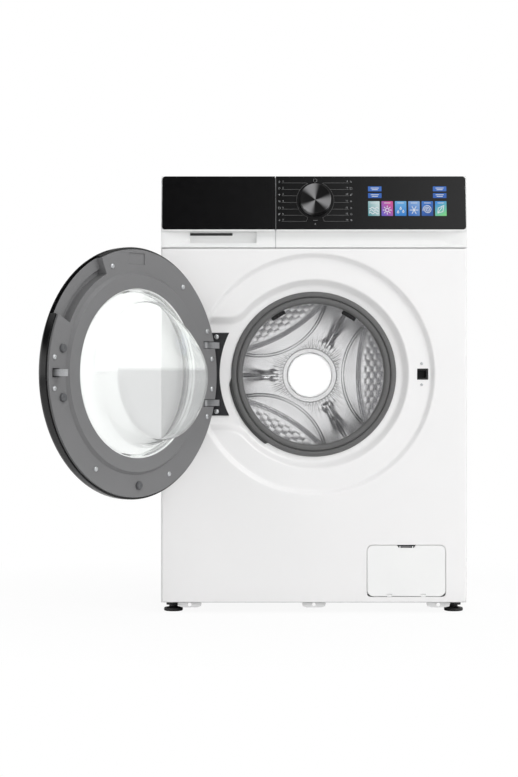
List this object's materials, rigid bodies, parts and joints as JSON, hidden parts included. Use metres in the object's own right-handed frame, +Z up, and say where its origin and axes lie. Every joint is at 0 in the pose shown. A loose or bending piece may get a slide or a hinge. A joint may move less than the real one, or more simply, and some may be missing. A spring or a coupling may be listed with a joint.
{
  "type": "front-loading washing machine",
  "caption": "Front-loading washing machine with open round door, glass bowl, pressed front panel, detergent drawer, dial, sprung tub and steel drum.",
  "frame": {"origin": "on the floor under the middle of the cabinet's footprint", "axes": "+X to the machine's right seen from the front, +Y from the front panel to the rear, +Z up"},
  "size_m": [0.7958, 0.886, 0.85],
  "materials": {
    "white_steel": "satin enamel",
    "white_top": "satin",
    "zinc_steel": "galvanised",
    "grey_plastic": "matt",
    "white_plastic": "satin",
    "black_gloss": "polished",
    "dark_plastic": "matt",
    "black_chrome": "spun dark chrome",
    "blue_plastic": "satin",
    "door_grey": "satin",
    "clear_glass": "polished",
    "bright_steel": "polished",
    "dark_steel": "phosphated",
    "grey_rubber": "matt",
    "black_rubber": "matt",
    "concrete": "cast",
    "cast_aluminium": "as cast",
    "drum_steel": "polished stainless",
    "black_foot": "matt"
  },
  "bodies": {
    "cabinet": {"front_panel": "white_steel", "left_side_panel": "white_steel", "right_side_panel": "white_steel", "worktop": "white_top", "rear_panel": "zinc_steel", "base_tray": "grey_plastic", "top_rails": "zinc_steel", "control_fascia": "white_plastic", "control_lens": "black_gloss", "control_board": "dark_plastic", "dispenser_housing": "grey_plastic", "hinge_bracket": "dark_steel", "door_lock": "dark_plastic", "cabinet_screws": "bright_steel", "gasket": "grey_rubber", "spray_nozzles": "dark_plastic", "inlet_valve": "white_plastic", "rear_glands": "dark_plastic", "transit_caps": "grey_plastic", "drain_pump": "grey_plastic", "damper_cylinders": "dark_plastic", "suspension_springs": "dark_steel", "dispenser_hose": "black_rubber", "sump_hose": "black_rubber"},
    "tub": {"tub_front": "grey_plastic", "tub_rear": "grey_plastic", "heater": "bright_steel", "front_counterweights": "concrete", "top_counterweight": "concrete", "drum_bearings": "bright_steel", "motor_housing": "cast_aluminium", "motor_bolts": "bright_steel", "drive_belt": "black_rubber", "damper_rods": "bright_steel"},
    "drum": {"drum_shell": "drum_steel", "drum_back": "drum_steel", "lifters": "white_plastic", "hub_cap": "white_plastic", "spider": "cast_aluminium", "drum_shaft": "bright_steel", "drum_pulley": "cast_aluminium"},
    "motor_rotor": {"motor_pulley": "bright_steel"},
    "door": {"door_outer_trim": "black_gloss", "door_inner_ring": "door_grey", "door_glass": "clear_glass", "hinge_pins": "bright_steel", "door_screws": "bright_steel", "door_bumpers": "grey_rubber"},
    "latch": {"latch_hook": "bright_steel"},
    "drawer": {"drawer_front": "white_plastic", "drawer_lens": "black_gloss", "drawer_tray": "white_plastic", "siphon_cap": "blue_plastic"},
    "dial": {"program_dial": "black_chrome"},
    "flap": {"filter_flap": "white_plastic"},
    "filter": {"pump_filter": "grey_plastic"},
    "foot_fl": {"foot_front_left": "black_foot"},
    "foot_fr": {"foot_front_right": "black_foot"},
    "foot_rl": {"foot_rear_left": "black_foot"},
    "foot_rr": {"foot_rear_right": "black_foot"}
  },
  "joints": [
    {"name": "door_hinge", "type": "hinge", "parent": "cabinet", "child": "door", "pos_m": [-0.212, -0.2585, 0.464], "axis": [0, 0, -1], "range_deg": [-129, 8]},
    {"name": "latch_pivot", "type": "hinge", "parent": "door", "child": "latch", "pos_m": [-0.4765, -0.5899, 0.464], "axis": [0, 0, -1], "range_deg": [0, 8], "stiffness_Nm_per_rad": 0.4},
    {"name": "tub_float", "type": "slide", "parent": "cabinet", "child": "tub", "axis": [0, 0, 1], "range_m": [-0.008, 0.008], "stiffness_N_per_m": 60000, "deforming": ["gasket", "suspension_springs", "dispenser_hose", "sump_hose"]},
    {"name": "drum_spin", "type": "hinge", "parent": "tub", "child": "drum", "pos_m": [0, 0.15, 0.464], "axis": [0, 1, 0], "continuous": true},
    {"name": "motor_spin", "type": "hinge", "parent": "tub", "child": "motor_rotor", "pos_m": [0, 0.15, 0.112], "axis": [0, 1, 0], "continuous": true},
    {"name": "drawer_slide", "type": "slide", "parent": "cabinet", "child": "drawer", "axis": [0, -1, 0], "range_m": [0, 0.19]},
    {"name": "dial_turn", "type": "hinge", "parent": "cabinet", "child": "dial", "pos_m": [0.0025, -0.24073, 0.802], "axis": [0, -0.9856, 0.169], "continuous": true},
    {"name": "flap_hinge", "type": "hinge", "parent": "cabinet", "child": "flap", "pos_m": [0.1795, -0.246, 0.0335], "axis": [1, 0, 0], "range_deg": [0, 90]},
    {"name": "filter_turn", "type": "hinge", "parent": "cabinet", "child": "filter", "pos_m": [0.1795, -0.19, 0.08], "axis": [0, 1, 0], "range_deg": [0, 90]},
    {"name": "foot_fl_turn", "type": "hinge", "parent": "cabinet", "child": "foot_fl", "pos_m": [-0.275, -0.2055, 0.03], "axis": [0, 0, 1], "continuous": true},
    {"name": "foot_fr_turn", "type": "hinge", "parent": "cabinet", "child": "foot_fr", "pos_m": [0.275, -0.2055, 0.03], "axis": [0, 0, 1], "continuous": true},
    {"name": "foot_rl_turn", "type": "hinge", "parent": "cabinet", "child": "foot_rl", "pos_m": [-0.275, 0.2055, 0.03], "axis": [0, 0, 1], "continuous": true},
    {"name": "foot_rr_turn", "type": "hinge", "parent": "cabinet", "child": "foot_rr", "pos_m": [0.275, 0.2055, 0.03], "axis": [0, 0, 1], "continuous": true}
  ],
  "couplings": [
    {"joint": "motor_spin", "follows": "drum_spin", "ratio": 12.5}
  ]
}
